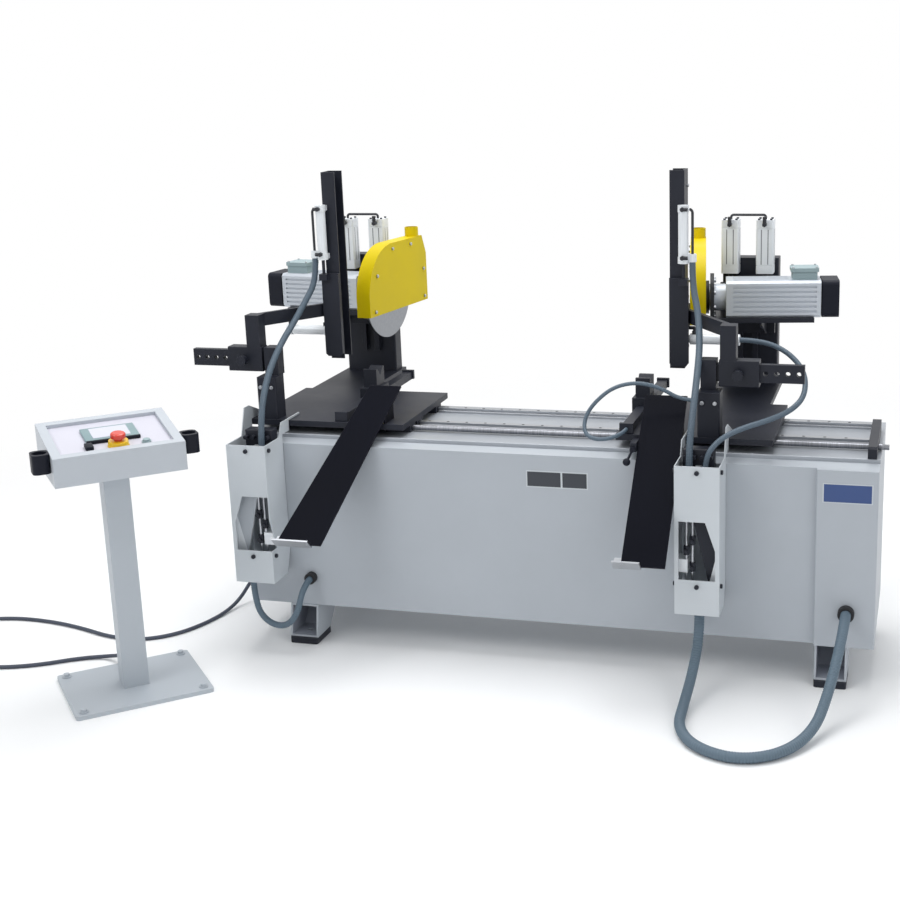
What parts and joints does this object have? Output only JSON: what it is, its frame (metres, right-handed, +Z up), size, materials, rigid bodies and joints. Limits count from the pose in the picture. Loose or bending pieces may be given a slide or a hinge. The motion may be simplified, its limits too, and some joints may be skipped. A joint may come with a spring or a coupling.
{
  "type": "chair leg sizing machine",
  "caption": "Twin-head saw that trims both ends of a chair leg to length, fed from magazines, with a console on a pedestal.",
  "frame": {"origin": "centre of the four floor anchors, on the floor", "axes": "+X along the bed towards the moving right head, +Y from the operator to the saws, +Z up"},
  "size_m": [2.9432, 1.5141, 1.429],
  "materials": {
    "cabinet_paint": "light blue-grey satin enamel",
    "panel_paint": "pale grey satin enamel",
    "black_oxide": "black satin coating on machined steel",
    "machined_steel": "ground bright steel",
    "guard_paint": "yellow gloss enamel on folded sheet",
    "motor_alloy": "ribbed die-cast alloy, silver-grey",
    "cylinder_alloy": "natural anodised extrusion",
    "blade_steel": "ground saw plate with radial grain",
    "screw_steel": "rolled screw thread, lightly oiled",
    "hose_plastic": "blue-grey corrugated conduit",
    "cable_rubber": "dark grey flexible cable sheath",
    "black_rubber": "matt black rubber",
    "stop_red": "red moulded mushroom head",
    "button_plastic": "black moulded plastic"
  },
  "bodies": {
    "base": {"base_cabinet": "cabinet_paint", "end_column": "cabinet_paint", "bed_plate": "machined_steel", "linear_rails": "machined_steel", "rail_end_plate": "black_oxide", "foot_brackets": "cabinet_paint", "foot_pads": "black_oxide", "left_head_bed": "black_oxide", "left_tower": "panel_paint", "left_chute": "black_oxide", "left_chute_stop": "machined_steel", "left_magazine_column": "black_oxide", "left_feed_guide": "black_oxide", "left_saw_column": "black_oxide", "left_saw_cylinders": "cylinder_alloy", "pedestal_stand": "panel_paint", "pedestal_bolts": "machined_steel", "console_box": "panel_paint", "console_panel": "panel_paint", "hose_glands": "black_rubber", "control_cable": "cable_rubber", "left_tower_hose": "hose_plastic", "left_post_hose": "cable_rubber", "right_floor_hose": "hose_plastic"},
    "right_head": {"right_carriage": "black_oxide", "right_tower": "panel_paint", "right_chute": "black_oxide", "right_chute_stop": "machined_steel", "right_magazine_column": "black_oxide", "right_feed_guide": "black_oxide", "right_saw_column": "black_oxide", "right_saw_cylinders": "cylinder_alloy", "right_feed_hose": "cable_rubber", "right_post_hose": "cable_rubber", "right_loop_hose": "cable_rubber"},
    "lead_screw": {"lead_screw": "screw_steel"},
    "clamp_lever": {"carriage_clamp_lever": "button_plastic"},
    "left_gallows": {"left_gallows": "black_oxide", "left_magazine_post": "black_oxide", "left_magazine_cylinders": "cylinder_alloy"},
    "left_gate": {"left_magazine_gate": "black_oxide"},
    "left_escapement": {"left_escapement_rod": "machined_steel"},
    "left_feed": {"left_feed_slide": "black_oxide"},
    "left_saw": {"left_saw_plate": "black_oxide", "left_motor": "motor_alloy", "left_saw_guard": "guard_paint"},
    "left_blade": {"left_saw_blade": "blade_steel"},
    "right_gallows": {"right_gallows": "black_oxide", "right_magazine_post": "black_oxide", "right_magazine_cylinders": "cylinder_alloy"},
    "right_gate": {"right_magazine_gate": "black_oxide"},
    "right_escapement": {"right_escapement_rod": "machined_steel"},
    "right_feed": {"right_feed_slide": "black_oxide"},
    "right_saw": {"right_saw_plate": "black_oxide", "right_motor": "motor_alloy", "right_saw_guard": "guard_paint"},
    "right_blade": {"right_saw_blade": "blade_steel"},
    "estop": {"estop_button": "stop_red"},
    "left_start": {"left_start_button": "button_plastic"},
    "right_start": {"right_start_button": "button_plastic"}
  },
  "joints": [
    {"name": "right_head_slide", "type": "slide", "parent": "base", "child": "right_head", "axis": [1, 0, 0], "range_m": [-0.45, 0.235], "deforming": ["right_floor_hose"]},
    {"name": "lead_screw_turn", "type": "hinge", "parent": "base", "child": "lead_screw", "pos_m": [0, -0.095, 0.671], "axis": [1, 0, 0], "range_deg": [-16201, 8461]},
    {"name": "clamp_lever_turn", "type": "hinge", "parent": "right_head", "child": "clamp_lever", "pos_m": [0.242, -0.24, 0.672], "axis": [0, 1, 0], "range_deg": [0, 40]},
    {"name": "left_gallows_slide", "type": "slide", "parent": "base", "child": "left_gallows", "axis": [-1, 0, 0], "range_m": [-0.006, 0.1], "deforming": ["left_post_hose"]},
    {"name": "left_gate_drop", "type": "slide", "parent": "left_gallows", "child": "left_gate", "axis": [0, 0, 1], "range_m": [-0.035, 0]},
    {"name": "left_escapement_push", "type": "slide", "parent": "left_gallows", "child": "left_escapement", "axis": [1, 0, 0], "range_m": [0, 0.03]},
    {"name": "left_feed_travel", "type": "slide", "parent": "base", "child": "left_feed", "axis": [0, 1, 0], "range_m": [-0.2, 0.25]},
    {"name": "left_saw_stroke", "type": "slide", "parent": "base", "child": "left_saw", "axis": [0, 0, 1], "range_m": [-0.105, 0]},
    {"name": "left_blade_spin", "type": "hinge", "parent": "left_saw", "child": "left_blade", "pos_m": [-0.70504, 0.36368, 1.0095], "axis": [0.989, -0.1478, 0], "continuous": true},
    {"name": "right_gallows_slide", "type": "slide", "parent": "right_head", "child": "right_gallows", "axis": [1, 0, 0], "range_m": [-0.006, 0.1], "deforming": ["right_post_hose", "right_loop_hose"]},
    {"name": "right_gate_drop", "type": "slide", "parent": "right_gallows", "child": "right_gate", "axis": [0, 0, 1], "range_m": [-0.035, 0]},
    {"name": "right_escapement_push", "type": "slide", "parent": "right_gallows", "child": "right_escapement", "axis": [-1, 0, 0], "range_m": [0, 0.03]},
    {"name": "right_feed_travel", "type": "slide", "parent": "right_head", "child": "right_feed", "axis": [0, 1, 0], "range_m": [-0.2, 0.25]},
    {"name": "right_saw_stroke", "type": "slide", "parent": "right_head", "child": "right_saw", "axis": [0, 0, 1], "range_m": [-0.105, 0]},
    {"name": "right_blade_spin", "type": "hinge", "parent": "right_saw", "child": "right_blade", "pos_m": [0.33504, 0.36368, 1.0095], "axis": [0.989, 0.1478, 0], "continuous": true},
    {"name": "estop_press", "type": "slide", "parent": "base", "child": "estop", "axis": [0.0963, -0.107, 0.9896], "range_m": [-0.005, 0], "stiffness_N_per_m": 900},
    {"name": "left_start_press", "type": "slide", "parent": "base", "child": "left_start", "axis": [0, 0, 1], "range_m": [-0.004, 0], "stiffness_N_per_m": 700},
    {"name": "right_start_press", "type": "slide", "parent": "base", "child": "right_start", "axis": [0, 0, 1], "range_m": [-0.004, 0], "stiffness_N_per_m": 700}
  ],
  "couplings": [
    {"joint": "lead_screw_turn", "follows": "right_head_slide", "rad_per_m": 628.32},
    {"joint": "right_feed_travel", "follows": "left_feed_travel", "ratio": 1}
  ]
}
